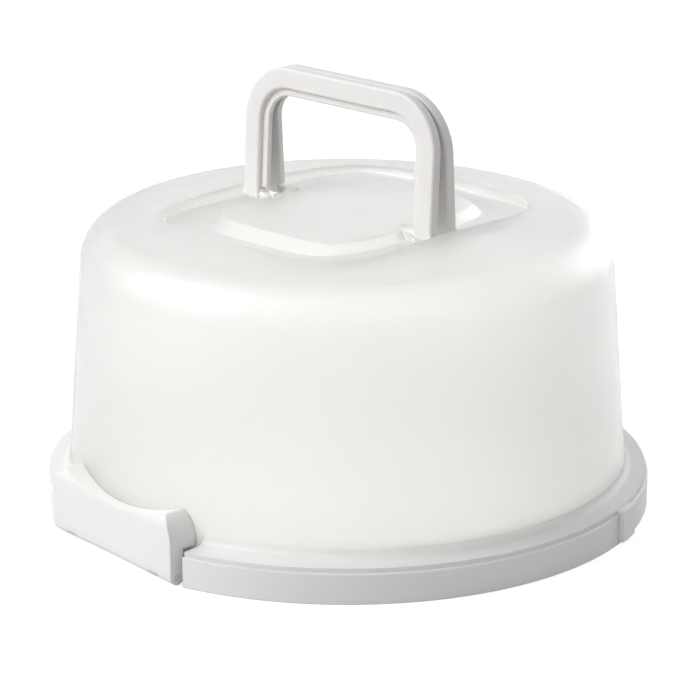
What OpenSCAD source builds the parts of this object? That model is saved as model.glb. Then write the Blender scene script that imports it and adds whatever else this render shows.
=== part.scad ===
// Round cake carrier: a shallow tray, a domed lid, a handle of two folding bails that lean on each
// other, and two long edge latches that hinge on rods in the tray's rim.
// Z is up, the origin is the middle of the tray's underside, and the front latch faces -Y.

/* [Tray] */
// Outer diameter of the tray
tray_d = 300; // [270:1:330]
// Height of the tray's rim
rim_h = 15; // [14:0.5:20]
// Wall of the tray
tray_wall = 2.2; // [1.8:0.1:3]
// Width of the flat rim that the lid stands on
rim_w = 15.2; // [14.5:0.1:17]
// Height of the floor's underside above the table
floor_z = 7.2; // [6.8:0.1:9]
// Distance of the cake plate's raised bead from the well's wall
bead_inset = 16.8; // [12:0.2:30]
// Radius of that bead
bead_r = 1.1; // [0.8:0.05:1.6]
// Number of ribs under the floor
rib_n = 16; // [8:2:24]
// Thickness of the ribs
rib_t = 1.6; // [1.2:0.1:2]
// Radius of the inner ring under the floor, as a share of the well's radius
ring_in = 0.25; // [0.2:0.01:0.35]
// Radius of the outer ring under the floor, as a share of the well's radius
ring_out = 0.64; // [0.5:0.01:0.75]

/* [Lid shell] */
// Height of the crown's middle above the table
crown_z = 150.4; // [140:0.2:165]
// Radius of the crown's shallow dome
cap_r = 800; // [700:10:1500]
// Thickness of the lid's shell
lid_wall = 2; // [1.6:0.1:2.6]
// Distance from the tray's edge in to the foot of the lid's wall
wall_inset = 11.4; // [11:0.1:13]
// Distance from the tray's edge in to the middle of the shoulder's round
crown_inset = 39.7; // [37:0.1:44]
// Radius of the rounded shoulder
shoulder_r = 20.4; // [17:0.2:23]
// Distance from the tray's edge in to the flange's edge
flange_inset = 1.2; // [0.5:0.1:3]
// Thickness of the flange at its edge
flange_t = 2.2; // [1.8:0.1:3]
// Height of the fillet between flange and wall
flange_fillet = 4; // [3:0.5:6]
// Depth of the skirt that centres the lid in the tray
skirt_h = 3.6; // [2.5:0.1:4.5]

/* [Lid top] */
// Turn of the handle and its recess against the latches
lid_turn = 6.5; // [0:0.5:20]
// Room between the handle's legs and the ends of the recess
recess_room = 4.5; // [3.5:0.1:9]
// Room between a folded bail and the side of the recess
fold_room = 6.4; // [5:0.1:9]
// Depth of the recess's floor below the crown's middle
recess_depth = 9; // [8.4:0.1:10]
// Drop of the plateau's top below the crown's middle
plateau_drop = 4.2; // [3.4:0.1:4.6]
// Gap between the plateau's top and the handle's legs, which the ears bridge
ear_bridge = 8.4; // [7:0.1:9]
// Half length of the plateau across the handle, at its top
plateau_v = 55; // [45:0.5:58]
// Run of the plateau's slopes that face the handle's legs
slope_u = 3.8; // [2:0.1:4.4]
// Run of the plateau's slopes that face front and rear
slope_v = 8; // [3:0.5:12]

/* [Lift tab] */
// Place of the lift tab, as an angle from the front latch
tab_angle = 113; // [60:0.5:120]
// Width of the lift tab
tab_w = 14; // [10:0.5:20]
// Thickness of the lift tab
tab_t = 2.4; // [1.6:0.1:3]
// Height of the lift tab's lower edge
tab_low = 1.5; // [1:0.1:5]

/* [Handle] */
// Half width of the handle over its legs
bail_half_w = 63.5; // [60:0.1:66]
// Height of the handle's top above its pivots
bail_h = 66.8; // [62:0.2:70]
// Thickness of one bail
bail_t = 5.6; // [5:0.1:6.4]
// Width of a bail's outer band
band_w = 10.6; // [10:0.1:11]
// Width of the set-back lip inside the band
lip_w = 3.8; // [3:0.1:3.9]
// Thickness of the lip
lip_t = 3; // [2.4:0.1:3.4]
// Outer radius of the handle's upper corners
bail_corner_r = 28; // [22:1:32]
// Rounding of the band's edges
band_edge_r = 1.6; // [0.8:0.1:2]
// Distance of each pivot from the middle plane
pivot_v = 6.8; // [6.2:0.1:9]
// Gap left between the two bails at the top
bail_gap = 0.4; // [0.3:0.05:1]
// Radius of the pivot studs
stud_r = 1.6; // [1.3:0.05:1.8]
// Running clearance round the studs and the hinge rods
run_gap = 0.06; // [0.03:0.01:0.1]
// Radius of the ears that carry the studs
ear_r = 3; // [2.7:0.1:3.3]
// Length of the studs
stud_l = 4.6; // [4:0.1:5]
// Gap under a bail's feet
foot_gap = 0.6; // [0.5:0.05:1]

/* [Latches] */
// Distance from the tray's edge in to a latch's outer face at its middle
latch_inset = 5; // [4.6:0.1:6]
// Half length of a latch
latch_half = 47.5; // [44:0.5:50]
// Thickness of the latch at its hinge
latch_root_t = 7.2; // [6.6:0.1:7.4]
// Height of a latch at its ends
latch_end_h = 36.4; // [32:0.2:38]
// Height of a latch at its middle
latch_mid_h = 27; // [25:0.5:29]
// Rounding of a latch's upper corners
latch_corner_r = 16; // [8:0.5:18]
// Rounding of a latch's outer face into its top
latch_top_r = 9; // [6:0.5:10]
// Rounding of the hook's tip
hook_tip_r = 3; // [2:0.1:3.5]
// Rise of the lower edge at the middle of a latch
latch_arch = 2; // [1:0.1:2.2]
// Skin of a latch
latch_skin = 2.4; // [2:0.1:3]
// Height of the hook's underside
hook_z = 17.2; // [16.8:0.1:18.5]
// Depth of the hook from the outer face
hook_reach = 16.5; // [14:0.1:18]
// Radius of a hinge rod
rod_r = 1.2; // [0.9:0.05:1.4]
// Radius of the tray's hinge lugs
lug_r = 2.5; // [2.3:0.05:2.7]
// Width of a hinge lug
lug_w = 7; // [5:0.5:9]
// Gap under a latch at its ends
ground_gap = 0.3; // [0.2:0.05:1]
// Room between a latch's ends and its pocket
pocket_gap = 3.5; // [2.5:0.1:5]
// Distance of the hinge lugs from the latch's middle
lug_x = 33; // [26:1:36]

/* [Fits] */
// Clearance between pieces that move past each other
play = 0.35; // [0.3:0.05:0.5]

/* [Hidden] */
fine = 120;
large = 1440;
small = 32;
eps = 0.01;
tray_r = tray_d / 2;
well_r = tray_r - rim_w;
plate_bead_r = well_r - bead_inset;
wall_r = tray_r - wall_inset;
crown_r = tray_r - crown_inset;
flange_r = tray_r - flange_inset;
well_outer = well_r + tray_wall;
floor_top = floor_z + tray_wall;
recess_z = crown_z - recess_depth;
plateau_z = crown_z - plateau_drop;
pivot_z = recess_z + foot_gap + bail_t / 2;
cap_mid = [0, crown_z - cap_r];
shoulder_mid = [crown_r, cap_mid.y + sqrt(pow(cap_r - shoulder_r, 2) - pow(crown_r, 2))];
bail_in = bail_half_w - band_w;
recess_u = bail_half_w + recess_room;
recess_v = pivot_v + bail_h + fold_room;
plateau_u = bail_in - ear_bridge;
lean = asin((pivot_v - bail_gap / 2 - bail_t / 2) / bail_h);
latch_face = tray_r - latch_inset;
latch_y = latch_face - latch_root_t / 2;
latch_root_r = latch_root_t / 2;
hinge_z = latch_root_r + ground_gap;
pocket_half = latch_half + pocket_gap;
recess_squareness = 4.4;
plateau_squareness = 5;
foot_squareness = 4;

// Points of a superellipse with half axes a and b
function superellipse(a, b, n, count = 72) = [for (i = [0 : count - 1])
    let (t = 360 * i / count, c = cos(t), s = sin(t))
    [a * sign(c) * pow(abs(c), 2 / n), b * sign(s) * pow(abs(s), 2 / n)]];

// Half section of the lid filled solid, moved inward by d: a drafted wall that runs into the shoulder's
// round, and that into the shallow dome of the crown
module lid_half_section(d) {
    foot_0 = [wall_r, rim_h + flange_t];
    reach = foot_0 - shoulder_mid;
    draft = atan2(reach.y, reach.x) + acos(shoulder_r / norm(reach));
    normal = [cos(draft), sin(draft)];
    foot = foot_0 - d * normal;
    low = rim_h - skirt_h - 1;
    joint = (shoulder_mid - cap_mid) / norm(shoulder_mid - cap_mid);
    polygon([[0, low], [foot.x, low], foot, shoulder_mid + (shoulder_r - d) * normal,
             shoulder_mid, [0, shoulder_mid.y]]);
    translate(shoulder_mid) circle(shoulder_r - d, $fn = fine);
    intersection() {
        translate(cap_mid) circle(cap_r - d, $fn = 4 * large);
        polygon([[0, shoulder_mid.y - 1], [shoulder_mid.x - 1, shoulder_mid.y - 1], shoulder_mid,
                 shoulder_mid + 2 * shoulder_r * joint, [0, crown_z + shoulder_r]]);
    }
}

// Shape of the recess in the crown, grown by d
module recess_shape(d) {
    rotate(lid_turn) polygon(superellipse(recess_u + d, recess_v + d, recess_squareness));
}

// The plateau in the recess, shrunk by d, with sloped sides that start just under the recess's floor
module plateau_solid(d) {
    root = 1;
    grow = (plateau_z - recess_z + root) / (plateau_z - recess_z);
    rotate(lid_turn) hull() {
        translate([0, 0, recess_z - root - d])
            linear_extrude(eps)
                polygon(superellipse(plateau_u + grow * slope_u - d, plateau_v + grow * slope_v - d,
                                     foot_squareness));
        translate([0, 0, plateau_z - d - eps])
            linear_extrude(eps)
                polygon(superellipse(plateau_u - d, plateau_v - d, plateau_squareness));
    }
}

// Rectangle from a corner with its own corners rounded by true arcs
module round_rect(w, h, r) {
    translate([r, 0]) square([w - 2 * r, h]);
    translate([0, r]) square([w, h - 2 * r]);
    for (x = [r, w - r], y = [r, h - r])
        translate([x, y]) circle(r, $fn = small);
}

// Section of one bail: x runs outward from the lip's edge, y from the inner to the outer face
module bail_section() {
    translate([lip_w, 0]) round_rect(band_w, bail_t, band_edge_r);
    round_rect(lip_w + band_w / 2, lip_t, band_edge_r / 2);
}

// One bail upright, with its pivot axis along X through the origin and its outer face at -Y
module bail_upright() {
    corner_in = bail_corner_r - band_w - lip_w;
    straight = bail_half_w - bail_corner_r;
    leg_h = bail_h - bail_corner_r;
    lip_z = ear_r + 1.2;
    // top bar
    translate([-straight, bail_t / 2, leg_h + corner_in])
        rotate([180, -90, 0]) linear_extrude(2 * straight) bail_section();
    for (side = [0, 1]) mirror([side, 0, 0]) {
        // corner
        translate([straight, bail_t / 2, leg_h])
            rotate([90, 0, 0]) section_corner(corner_in);
        // leg with its lip ending above the ear
        translate([straight + corner_in, bail_t / 2, 0])
            difference() {
                mirror([0, 1, 0]) linear_extrude(leg_h) bail_section();
                translate([-1, -bail_t - 1, -1]) cube([lip_w + 1, bail_t + 2, lip_z + 1]);
            }
        // foot turned round the pivot
        translate([bail_in, 0, 0]) rotate([0, 90, 0])
            cylinder(h = band_w, r = bail_t / 2, $fn = fine);
        // stud that turns in the ear
        translate([bail_in - stud_l, 0, 0]) rotate([0, 90, 0])
            cylinder(h = stud_l + 1, r = stud_r, $fn = fine);
    }
}

// Quarter turn of the bail's section, standing in the XY plane
module section_corner(inner) {
    rotate_extrude(angle = 90, $fn = fine)
        translate([inner, 0]) bail_section();
}

// A bail standing in place on the lid, leaning against the other one
module bail_in_place(turn) {
    rotate(lid_turn + turn)
        translate([0, -pivot_v, pivot_z])
            rotate([-lean, 0, 0]) bail_upright();
}

// The keep-out of the lid's wall for the latches
module lid_keep_out() {
    rotate_extrude($fn = fine) intersection() {
        lid_half_section(-play);
        translate([0, rim_h - play]) square([tray_r, crown_z]);
    }
}

module base_tray() {
    color("whitesmoke") {
        difference() {
            union() {
                rotate_extrude($fn = fine) tray_section();
                ribs();
                for (turn = [0, 180]) rotate(turn) pocket_walls();
            }
            for (turn = [0, 180]) rotate(turn) pocket_cut();
        }
        for (turn = [0, 180]) rotate(turn) hinge_lugs();
    }
}

// Half section of the tray: skirt, flat rim, well wall, floor and the bead of the cake plate
module tray_section() {
    edge = 1;
    translate([tray_r - tray_wall, 0]) square([tray_wall, rim_h - edge]);
    translate([well_r, rim_h - tray_wall]) square([tray_r - well_r - edge, tray_wall]);
    translate([tray_r - edge, rim_h - edge]) circle(edge, $fn = small);
    translate([well_r, floor_z]) square([tray_wall, rim_h - floor_z]);
    translate([0, floor_z]) square([well_outer, tray_wall]);
    translate([plate_bead_r, floor_top]) circle(bead_r, $fn = small);
}

// Stiffening under the floor: rings and radial ribs, clear of the table
module ribs() {
    ring_low = 1.5;
    rib_low = 2.5;
    rib_end_room = 6;
    ring_r = [ring_in * well_r, ring_out * well_r];
    for (r = ring_r) translate([0, 0, ring_low]) difference() {
        cylinder(h = floor_z - ring_low + eps, r = r + rib_t, $fn = fine);
        translate([0, 0, -1]) cylinder(h = floor_z + 2, r = r, $fn = fine);
    }
    for (i = [0 : rib_n - 1]) rotate(360 * (i + 0.5) / rib_n)
        translate([ring_r[0] + rib_t / 2, -rib_t / 2, rib_low])
            cube([well_r - ring_r[0] - rib_end_room, rib_t, floor_z - rib_low + eps]);
}

// Walls that close the latch's pocket in the rim
module pocket_walls() {
    end_t = 3;
    span = 2 * (pocket_half + end_t);
    intersection() {
        cylinder(h = rim_h - eps, r = tray_r - eps, $fn = fine);
        union() {
            translate([-span / 2, -tray_r, 0]) cube([span, tray_r - well_outer + eps, rim_h]);
            translate([-span / 2, -well_outer, floor_z]) cube([span, tray_wall, rim_h]);
        }
    }
}

// The pocket itself, open outward, upward and downward
module pocket_cut() {
    translate([-pocket_half, -tray_r - 1, -1])
        cube([2 * pocket_half, tray_r + 1 - well_outer, rim_h + 2]);
}

// Lugs that hold the hinge rod, each on a web from the pocket's back wall
module hinge_lugs() {
    for (side = [-1, 1]) translate([side * lug_x - lug_w / 2, 0, 0]) difference() {
        union() {
            translate([0, -latch_y, hinge_z]) rotate([0, 90, 0])
                cylinder(h = lug_w, r = lug_r, $fn = fine);
            translate([0, -latch_y, hinge_z - lug_r + 0.6])
                cube([lug_w, latch_y - well_outer + tray_wall, 2 * lug_r - 1.2]);
            translate([0, -well_outer, hinge_z - lug_r + 0.6])
                cube([lug_w, tray_wall, floor_z - hinge_z + lug_r]);
        }
        translate([-1, -latch_y, hinge_z]) rotate([0, 90, 0])
            cylinder(h = lug_w + 2, r = rod_r, $fn = fine);
    }
}

module dome_lid() {
    color([0.93, 0.94, 0.92, 0.75]) {
        difference() {
            union() {
                difference() {
                    rotate_extrude($fn = fine) lid_half_section(0);
                    translate([0, 0, recess_z]) linear_extrude(crown_z) recess_shape(0);
                }
                plateau_solid(0);
            }
            difference() {
                rotate_extrude($fn = fine) lid_half_section(lid_wall);
                translate([0, 0, recess_z - lid_wall]) linear_extrude(crown_z) recess_shape(lid_wall);
            }
            plateau_solid(lid_wall);
            // room for the tray's rim below the flange
            translate([0, 0, -1]) difference() {
                cylinder(h = rim_h + 1, r = tray_r, $fn = fine);
                cylinder(h = rim_h + 1, r = well_r - play, $fn = fine);
            }
        }
        skirt();
        flange();
        lift_tab();
        ears();
    }
}

// Short skirt that centres the lid inside the tray's rim
module skirt() {
    skirt_r = well_r - play;
    difference() {
        translate([0, 0, rim_h - skirt_h]) cylinder(h = skirt_h + lid_wall, r = skirt_r, $fn = fine);
        translate([0, 0, -1]) cylinder(h = 2 * rim_h, r = skirt_r - lid_wall, $fn = fine);
    }
    difference() {
        translate([0, 0, rim_h]) cylinder(h = lid_wall, r = wall_r - lid_wall / 2, $fn = fine);
        translate([0, 0, -1]) cylinder(h = 2 * rim_h, r = skirt_r - lid_wall, $fn = fine);
    }
}

// Flange that stands on the tray's rim, cut away behind the latches
module flange() {
    difference() {
        rotate_extrude($fn = fine) difference() {
            polygon([[wall_r - 1, rim_h], [flange_r, rim_h], [flange_r, rim_h + flange_t],
                     [wall_r + flange_fillet, rim_h + flange_t + 0.8],
                     [wall_r + flange_fillet, rim_h + flange_t + 0.8 + flange_fillet],
                     [wall_r - 1, rim_h + flange_t + 0.8 + flange_fillet]]);
            translate([wall_r + flange_fillet, rim_h + flange_t + 0.8 + flange_fillet])
                circle(flange_fillet, $fn = small);
        }
        for (turn = [0, 180]) rotate(turn)
            translate([-pocket_half, -tray_r, rim_h - 1]) cube([2 * pocket_half, tray_r, crown_z]);
    }
}

// Tab that hangs from the flange over the tray's side
module lift_tab() {
    tab_in = tray_r + play;
    tab_step = 0.3;
    rotate(tab_angle) intersection() {
        translate([-tab_w / 2, -tab_in - tab_w, 0]) cube([tab_w, 2 * tab_w, rim_h + flange_t - tab_step]);
        difference() {
            translate([0, 0, tab_low]) cylinder(h = rim_h + flange_t - tab_low, r = tab_in + tab_t, $fn = fine);
            translate([0, 0, -1]) cylinder(h = rim_h + 1, r = tab_in, $fn = fine);
            translate([0, 0, -1]) cylinder(h = 2 * rim_h, r = flange_r - 3, $fn = fine);
        }
    }
}

// Ears on the plateau's sides with the blind bores of the bails' studs
module ears() {
    ear_out = bail_in - play;
    ear_l = ear_out - plateau_u + 2.5;
    rotate(lid_turn) for (turn = [0, 180]) rotate(turn)
        for (v = [-pivot_v, pivot_v]) translate([0, v, pivot_z]) difference() {
            union() {
                translate([ear_out - ear_l, 0, 0]) rotate([0, 90, 0])
                    cylinder(h = ear_l, r = ear_r, $fn = fine);
                translate([ear_out - ear_l, -ear_r, recess_z - pivot_z - lid_wall / 2])
                    cube([ear_l, 2 * ear_r, pivot_z - recess_z + lid_wall / 2]);
            }
            translate([bail_in - stud_l - 0.4, 0, 0]) rotate([0, 90, 0])
                cylinder(h = stud_l + 2, r = stud_r + run_gap, $fn = fine);
        }
}

module front_bail() {
    color("white") bail_in_place(0);
}

module rear_bail() {
    color("white") bail_in_place(180);
}

// Points of an arc, elliptical where the two radii differ
function arc(x, y, rx, ry, from, to, steps = 12) = [for (i = [0 : steps])
    let (t = from + (to - from) * i / steps) [x + rx * cos(t), y + ry * sin(t)]];

// End profile of a latch with its rounded root: x is the distance from the tray's middle, y is the height
module latch_profile() {
    top_r = latch_top_r;
    tip_r = hook_tip_r;
    face = latch_face;
    polygon(concat(arc(latch_y, hinge_z, latch_root_r, latch_root_r, 180, 360, 16),
                   arc(face - top_r, latch_end_h - top_r, top_r, top_r, 0, 90),
                   arc(face - top_r, hook_z + tip_r, hook_reach - top_r,
                       latch_end_h - hook_z - tip_r, 95, 180),
                   arc(face - hook_reach + tip_r, hook_z + tip_r, tip_r, tip_r, 195, 270, 6),
                   [[face - latch_root_t, hook_z]]));
}

// Elevation outline of a latch: both long edges are hollowed to the middle, the upper corners rounded
module latch_outline() {
    corner_x = latch_half - latch_corner_r;
    corner_z = latch_end_h - latch_corner_r;
    top_drop = latch_end_h - latch_mid_h;
    top_r = (pow(latch_half, 2) + pow(top_drop, 2)) / (2 * top_drop);
    arch_r = (pow(latch_half, 2) + pow(latch_arch, 2)) / (2 * latch_arch);
    difference() {
        union() {
            translate([-latch_half, 0]) square([2 * latch_half, corner_z]);
            translate([-corner_x, 0]) square([2 * corner_x, latch_end_h]);
            for (x = [-corner_x, corner_x])
                translate([x, corner_z]) circle(latch_corner_r, $fn = fine);
        }
        translate([0, latch_mid_h + top_r]) circle(top_r, $fn = large);
        translate([0, ground_gap + latch_arch - arch_r]) circle(arch_r, $fn = large);
    }
}

// A latch in place at the front
module latch_body() {
    difference() {
        intersection() {
            translate([-latch_half, 0, 0]) rotate([90, 0, 90])
                linear_extrude(2 * latch_half) mirror([1, 0]) latch_profile();
            rotate([90, 0, 0]) linear_extrude(2 * tray_r) latch_outline();
        }
        lid_keep_out();
        latch_rod_bore();
        lug_slots();
        latch_hollow();
    }
}

// Bore for the hinge rod along the latch's root
module latch_rod_bore() {
    translate([-latch_half - 1, -latch_y, hinge_z]) rotate([0, 90, 0])
        cylinder(h = 2 * latch_half + 2, r = rod_r + run_gap, $fn = fine);
}

// Slots that clear the tray's lugs while the latch swings, hidden behind the outer skin
module lug_slots() {
    w = lug_w + 2 * play;
    for (side = [-1, 1]) translate([side * lug_x - w / 2, 0, 0]) {
        translate([0, -latch_y, hinge_z]) rotate([0, 90, 0])
            cylinder(h = w, r = lug_r + play, $fn = fine);
        translate([0, -latch_y, hinge_z - lug_r - 4])
            cube([w, latch_root_t, 2 * lug_r + 4 + play]);
        translate([0, -latch_y - lug_r - play, -1])
            cube([w, latch_root_t + lug_r, hinge_z + 1]);
    }
}

// Hollows behind the outer skin, between ribs
module latch_hollow() {
    cell = 2 * (latch_half - latch_skin) / 5;
    rib = latch_skin * 0.7;
    for (i = [0 : 4])
        translate([-latch_half + latch_skin + i * cell + rib / 2, -latch_face + latch_skin,
                   hinge_z + latch_root_r + 1])
            cube([cell - rib, hook_reach, hook_z - hinge_z - latch_root_r - 1 - 1.5]);
}

module front_latch() {
    color("white") latch_body();
}

module rear_latch() {
    color("white") rotate(180) latch_body();
}

// Hinge rod through a latch and its two lugs
module hinge_rod() {
    rod_l = 2 * latch_half - 4;
    translate([-rod_l / 2, -latch_y, hinge_z]) rotate([0, 90, 0])
        cylinder(h = rod_l, r = rod_r, $fn = fine);
}

module front_hinge_rod() {
    color("silver") hinge_rod();
}

module rear_hinge_rod() {
    color("silver") rotate(180) hinge_rod();
}

base_tray();
dome_lid();
front_bail();
rear_bail();
front_latch();
rear_latch();
front_hinge_rod();
rear_hinge_rod();
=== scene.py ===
"""Looks of the cake carrier: white plastics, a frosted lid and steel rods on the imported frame."""
import math

import bpy
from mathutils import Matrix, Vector


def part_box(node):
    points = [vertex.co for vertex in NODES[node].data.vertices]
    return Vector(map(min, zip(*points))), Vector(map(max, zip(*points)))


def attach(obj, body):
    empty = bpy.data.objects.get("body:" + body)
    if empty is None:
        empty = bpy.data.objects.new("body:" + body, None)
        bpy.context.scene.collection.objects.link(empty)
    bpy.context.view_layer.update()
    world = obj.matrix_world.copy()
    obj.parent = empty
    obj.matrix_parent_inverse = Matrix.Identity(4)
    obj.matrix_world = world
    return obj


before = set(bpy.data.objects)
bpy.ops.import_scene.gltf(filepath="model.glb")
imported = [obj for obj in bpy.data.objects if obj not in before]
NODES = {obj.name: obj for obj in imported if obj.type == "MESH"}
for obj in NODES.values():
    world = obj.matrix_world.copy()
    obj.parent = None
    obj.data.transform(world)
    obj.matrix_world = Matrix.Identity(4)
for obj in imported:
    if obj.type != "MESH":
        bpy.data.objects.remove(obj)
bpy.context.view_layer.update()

WHITE = (1, 1, 1, 1)

# camera, as fitted to the photograph's outline: distances in metres, angles in degrees
CAM_AZIMUTH = 50.35
CAM_ELEVATION = 17.88
CAM_DISTANCE = 1.4984
CAM_AIM_Z = 0.07366
CAM_LENS = 155.54
CAM_SENSOR = 36.0
CAM_SHIFT_X = 0.0040
CAM_CLIP_END = 20

# each lamp's name, its place (right of the object, towards the camera, up), width and watts:
# the key on the left, the fill over the camera and the rim behind on the right
LAMPS = (
    ("key", (-1.15, 0.31, 0.92), 0.9, 14.5),
    ("fill", (0.2, 1.2, 1.2), 1.2, 1.5),
    ("rim", (1.1, -1.15, 0.5), 0.8, 5.0),
)
LAMP_AIM = Vector((0, 0, 0.08))
WORLD_STRENGTH = 0.5

# floor: half its width, how far it lies under the tray, its colour and its added white
FLOOR_HALF = 6.0
FLOOR_DROP = 0.0002
FLOOR_COLOUR = 0.55
FLOOR_GLOW = 0.70

# where a noise starts and stops to count, and how fine each noise is
NOISE_LOW = 0.3
NOISE_HIGH = 0.7
CLOUD_SCALE = 14.0
GLOSS_SCALE = 60.0
GRAIN_SCALE = 900.0
GRAIN_DEPTH = 0.00004
GRAIN_STRENGTH = 0.35
BEVEL_SAMPLES = 6
PLASTIC_IOR = 1.49
SCATTER = (0.004, 0.004, 0.0035)

# gloss and softened edges of the white plastics
SATIN = (0.38, 0.48)
PLAIN_EDGE = 0.0007
LATCH_EDGE = 0.0022
WHITE_SCATTER = 0.1

# the lid: how much shows through its wall and, up to FLANGE_Z, through the foot on the tray,
# and the share of a lamp's light that falls through it
LID_CLEAR = 0.93
FLANGE_CLEAR = 0.35
FLANGE_Z = 0.019
FLANGE_FADE = 0.006
LID_LETS_LIGHT = 0.5
LIGHT_TINT = (0.98, 0.98, 0.97, 1)

# plugs over the hinge rods' ends, in metres
PLUG_FIT = 0.00005
PLUG_SUNK = 0.0001
PLUG_STEPS = 32


def make_camera():
    """The camera; returns its right and the level direction from the object to it."""
    a = math.radians(CAM_AZIMUTH)
    e = math.radians(CAM_ELEVATION)
    right = Vector((math.cos(a), math.sin(a), 0))
    back = Vector((math.sin(a), -math.cos(a), 0))
    look = back * math.cos(e) + Vector((0, 0, math.sin(e)))
    data = bpy.data.cameras.new("camera")
    data.sensor_width = CAM_SENSOR
    data.lens = CAM_LENS
    data.shift_x = CAM_SHIFT_X
    data.clip_end = CAM_CLIP_END
    cam = bpy.data.objects.new("camera", data)
    cam.location = look * CAM_DISTANCE + Vector((0, 0, CAM_AIM_Z))
    cam.rotation_euler = look.to_track_quat("Z", "Y").to_euler()
    bpy.context.scene.collection.objects.link(cam)
    bpy.context.scene.camera = cam
    return right, back


def make_lamps(right, back):
    up = Vector((0, 0, 1))
    for name, (along, near, high), width, power in LAMPS:
        place = right * along + back * near + up * high
        data = bpy.data.lights.new(name, "AREA")
        data.shape = "DISK"
        data.size = width
        data.energy = power
        lamp = bpy.data.objects.new(name, data)
        lamp.location = place
        lamp.rotation_euler = (place - LAMP_AIM).to_track_quat("Z", "Y").to_euler()
        bpy.context.scene.collection.objects.link(lamp)


def nodes_of(owner):
    """The emptied node tree of a material or a world, as nodes and links."""
    owner.use_nodes = True
    owner.node_tree.nodes.clear()
    return owner.node_tree.nodes, owner.node_tree.links


def maths(n, l, operation, first, second):
    """A Math node on a socket and either another socket or a number."""
    node = n.new("ShaderNodeMath")
    node.operation = operation
    l.new(first, node.inputs[0])
    if isinstance(second, float):
        node.inputs[1].default_value = second
    else:
        l.new(second, node.inputs[1])
    return node.outputs[0]


def mixed(n, l, share, first, second):
    """A shader that is first where share is 0 and second where it is 1."""
    mix = n.new("ShaderNodeMixShader")
    l.new(share, mix.inputs[0])
    l.new(first.outputs[0], mix.inputs[1])
    l.new(second.outputs[0], mix.inputs[2])
    return mix.outputs[0]


def seen_rays(n, l):
    """1 for camera, glossy and transmission rays, which all see the white background."""
    path = n.new("ShaderNodeLightPath").outputs
    direct = maths(n, l, "MAXIMUM", path["Is Camera Ray"], path["Is Glossy Ray"])
    return maths(n, l, "MAXIMUM", direct, path["Is Transmission Ray"])


def make_world():
    world = bpy.data.worlds.new("studio")
    bpy.context.scene.world = world
    n, l = nodes_of(world)
    soft, seen = n.new("ShaderNodeBackground"), n.new("ShaderNodeBackground")
    for background, strength in ((soft, WORLD_STRENGTH), (seen, 1.0)):
        background.inputs["Color"].default_value = WHITE
        background.inputs["Strength"].default_value = strength
    out = n.new("ShaderNodeOutputWorld")
    l.new(mixed(n, l, seen_rays(n, l), soft, seen), out.inputs[0])


def make_floor():
    h = FLOOR_HALF
    data = bpy.data.meshes.new("floor")
    data.from_pydata([(-h, -h, 0), (h, -h, 0), (h, h, 0), (-h, h, 0)], [], [(0, 1, 2, 3)])
    floor = bpy.data.objects.new("floor", data)
    floor.location.z = -FLOOR_DROP
    bpy.context.scene.collection.objects.link(floor)
    mat = bpy.data.materials.new("pale_floor")
    n, l = nodes_of(mat)
    paint = n.new("ShaderNodeBsdfDiffuse")
    paint.inputs["Color"].default_value = (FLOOR_COLOUR, FLOOR_COLOUR, FLOOR_COLOUR, 1)
    glow = n.new("ShaderNodeEmission")
    glow.inputs["Color"].default_value = WHITE
    l.new(maths(n, l, "MULTIPLY", seen_rays(n, l), FLOOR_GLOW), glow.inputs["Strength"])
    add = n.new("ShaderNodeAddShader")
    l.new(paint.outputs[0], add.inputs[0])
    l.new(glow.outputs[0], add.inputs[1])
    l.new(add.outputs[0], n.new("ShaderNodeOutputMaterial").inputs[0])
    data.materials.append(mat)


def noise(n, l, scale, detail=3.0):
    place = n.new("ShaderNodeTexCoord")
    tex = n.new("ShaderNodeTexNoise")
    tex.inputs["Scale"].default_value = scale
    tex.inputs["Detail"].default_value = detail
    tex.inputs["Roughness"].default_value = 0.5
    l.new(place.outputs["Object"], tex.inputs["Vector"])
    return tex.outputs["Fac"]


def colours(n, l, socket, low, high):
    """A colour that runs from low to high with a noise."""
    ramp = n.new("ShaderNodeValToRGB")
    for stop, place, colour in zip(ramp.color_ramp.elements, (NOISE_LOW, NOISE_HIGH), (low, high)):
        stop.position = place
        stop.color = (*colour, 1)
    l.new(socket, ramp.inputs[0])
    return ramp.outputs[0]


def span(n, l, socket, low, high, start=NOISE_LOW, end=NOISE_HIGH):
    """A number that runs from low to high between two values of socket."""
    m = n.new("ShaderNodeMapRange")
    m.inputs["From Min"].default_value = start
    m.inputs["From Max"].default_value = end
    m.inputs["To Min"].default_value = low
    m.inputs["To Max"].default_value = high
    l.new(socket, m.inputs["Value"])
    return m.outputs["Result"]


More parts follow.
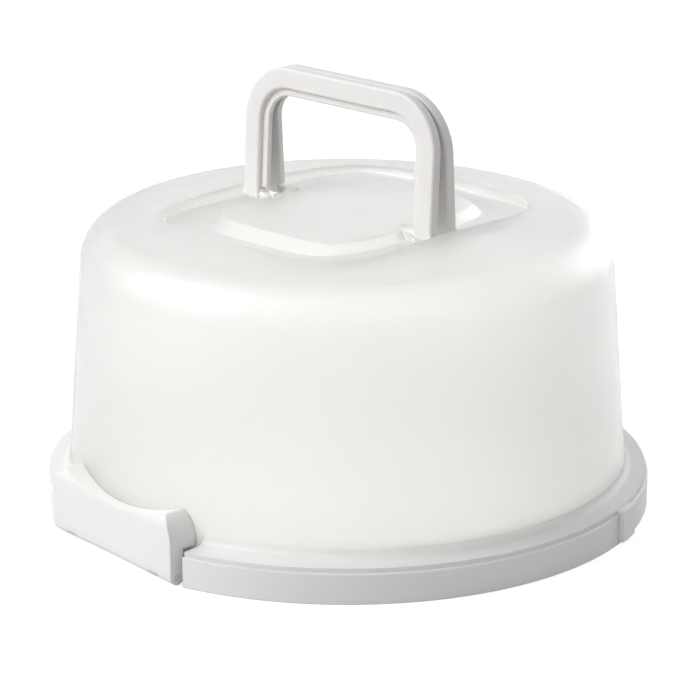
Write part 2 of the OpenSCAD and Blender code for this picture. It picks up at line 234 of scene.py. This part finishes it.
def surface(name, low, high, rough, transmission=0.0, subsurface=0.0, edge=PLAIN_EDGE, lets_light=0.0):
    """Faint clouds of colour from low to high, uneven gloss, a fine grain and softened edges.
    The share lets_light of a lamp's light falls through."""
    mat = bpy.data.materials.new(name)
    n, l = nodes_of(mat)
    shader = n.new("ShaderNodeBsdfPrincipled")
    put = shader.inputs
    l.new(colours(n, l, noise(n, l, CLOUD_SCALE), low, high), put["Base Color"])
    l.new(span(n, l, noise(n, l, GLOSS_SCALE), *rough), put["Roughness"])
    soft_edge = n.new("ShaderNodeBevel")
    soft_edge.samples = BEVEL_SAMPLES
    soft_edge.inputs["Radius"].default_value = edge
    bump = n.new("ShaderNodeBump")
    bump.inputs["Strength"].default_value = GRAIN_STRENGTH
    bump.inputs["Distance"].default_value = GRAIN_DEPTH
    l.new(noise(n, l, GRAIN_SCALE, 2.0), bump.inputs["Height"])
    l.new(soft_edge.outputs[0], bump.inputs["Normal"])
    l.new(bump.outputs[0], put["Normal"])
    put["IOR"].default_value = PLASTIC_IOR
    put["Transmission Weight"].default_value = transmission
    put["Subsurface Weight"].default_value = subsurface
    put["Subsurface Radius"].default_value = SCATTER
    put["Subsurface Scale"].default_value = 1.0
    result = shader.outputs[0]
    if lets_light:
        clear = n.new("ShaderNodeBsdfTransparent")
        clear.inputs["Color"].default_value = LIGHT_TINT
        shadow = n.new("ShaderNodeLightPath").outputs["Is Shadow Ray"]
        result = mixed(n, l, maths(n, l, "MULTIPLY", shadow, lets_light), shader, clear)
    l.new(result, n.new("ShaderNodeOutputMaterial").inputs[0])
    return mat


def thicken_foot(mat):
    """Lets less show through the lid's flange than through its wall."""
    n, l = mat.node_tree.nodes, mat.node_tree.links
    shader = next(node for node in n if node.type == "BSDF_PRINCIPLED")
    split = n.new("ShaderNodeSeparateXYZ")
    l.new(n.new("ShaderNodeTexCoord").outputs["Object"], split.inputs[0])
    top = FLANGE_Z + FLANGE_FADE
    share = span(n, l, split.outputs["Z"], FLANGE_CLEAR, LID_CLEAR, FLANGE_Z, top)
    l.new(share, shader.inputs["Transmission Weight"])


def dress(node, mat):
    slots = NODES[node].data.materials
    slots.clear()
    slots.append(mat)


def cylinder(name, radius, x_from, x_to, y, z):
    """A closed cylinder along X."""
    steps = PLUG_STEPS
    turns = [math.tau * i / steps for i in range(steps)]
    ring = [(y + radius * math.cos(t), z + radius * math.sin(t)) for t in turns]
    verts = [(x, a, b) for x in (x_from, x_to) for a, b in ring]
    sides = [(i, (i + 1) % steps, steps + (i + 1) % steps, steps + i) for i in range(steps)]
    caps = [tuple(range(steps))[::-1], tuple(range(steps, 2 * steps))]
    data = bpy.data.meshes.new(name)
    data.from_pydata(verts, [], sides + caps)
    for polygon in data.polygons[:steps]:
        polygon.use_smooth = True
    piece = bpy.data.objects.new(name, data)
    bpy.context.scene.collection.objects.link(piece)
    return piece


def plug_rods(body, mat):
    """Moulded plugs that close a latch over the ends of its hinge rod."""
    low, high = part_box(body)
    rod_low, rod_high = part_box(body.replace("latch", "hinge_rod"))
    y = (rod_low[1] + rod_high[1]) / 2
    z = (rod_low[2] + rod_high[2]) / 2
    radius = (rod_high[2] - rod_low[2]) / 2 + PLUG_FIT
    left = (low[0] + PLUG_SUNK, rod_low[0] - PLUG_SUNK)
    right = (rod_high[0] + PLUG_SUNK, high[0] - PLUG_SUNK)
    for side, (x_from, x_to) in (("left", left), ("right", right)):
        plug = cylinder(f"{body}_plug_{side}", radius, x_from, x_to, y, z)
        plug.data.materials.append(mat)
        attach(plug, body)


bpy.context.scene.view_settings.view_transform = "Standard"
make_lamps(*make_camera())
make_world()
make_floor()

# One white plastic in three lightnesses, each set to the light its part gets: the handle's is darker
# as painted shade, and the latch's and the tray's are lighter as painted light.
white = surface("handle_white_painted_shade", (0.715, 0.70, 0.69), (0.75, 0.735, 0.725), SATIN,
                subsurface=WHITE_SCATTER)
latch_white = surface("latch_white", (0.80, 0.795, 0.785), (0.83, 0.825, 0.815), SATIN,
                      subsurface=WHITE_SCATTER, edge=LATCH_EDGE)
tray_white_painted_light = surface("tray_white_painted_light", (0.83, 0.825, 0.815), (0.86, 0.855, 0.845), (0.4, 0.5),
                     subsurface=WHITE_SCATTER)
frosted = surface("frosted_lid", (0.978, 0.98, 0.968), (0.99, 0.99, 0.98), (0.42, 0.5),
                  transmission=LID_CLEAR, lets_light=LID_LETS_LIGHT)
thicken_foot(frosted)
steel = surface("drawn_steel", (0.5, 0.5, 0.51), (0.62, 0.62, 0.63), (0.25, 0.4))

for side in ("front", "rear"):
    dress(f"{side}_bail", white)
    dress(f"{side}_latch", latch_white)
    plug_rods(f"{side}_latch", latch_white)
    dress(f"{side}_hinge_rod", steel)
dress("base_tray", tray_white_painted_light)
dress("dome_lid", frosted)
